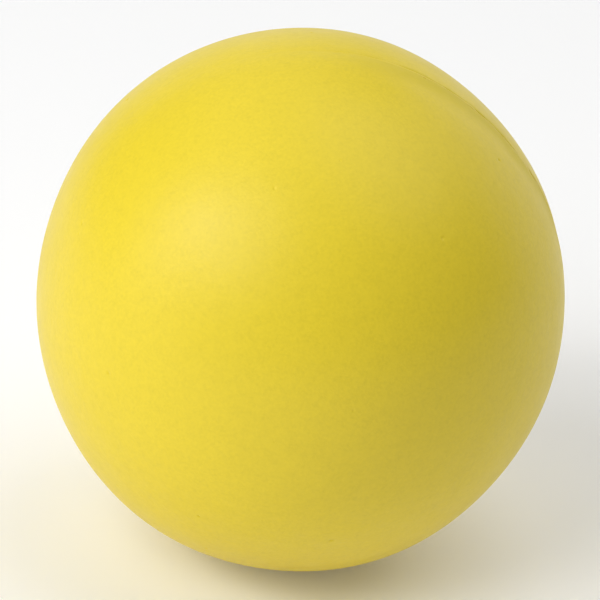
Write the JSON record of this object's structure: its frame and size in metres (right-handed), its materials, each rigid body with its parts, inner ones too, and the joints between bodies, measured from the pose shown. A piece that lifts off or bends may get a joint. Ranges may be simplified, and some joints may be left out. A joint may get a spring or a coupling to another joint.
{
  "type": "foam ball",
  "caption": "Soft, slightly oval moulded foam ball for squeezing in one hand, with a dense coloured skin in two halves that meet at a shallow furrow.",
  "frame": {"origin": "centre of the ball", "axes": "+Z along the ball's slightly longer way; the mould halves meet in the XZ plane, with the front half towards -Y; the pour-hole scar is on the parting line, low on the +X side"},
  "size_m": [0.062, 0.0622, 0.0644],
  "materials": {
    "foam": "matte",
    "skin": "satin",
    "flash": "satin",
    "cut_foam": "matte"
  },
  "bodies": {
    "root": {"foam_core": "foam", "skin_front": "skin", "skin_back": "skin", "seam_bead": "flash", "gate_plug": "cut_foam"}
  },
  "joints": []
}
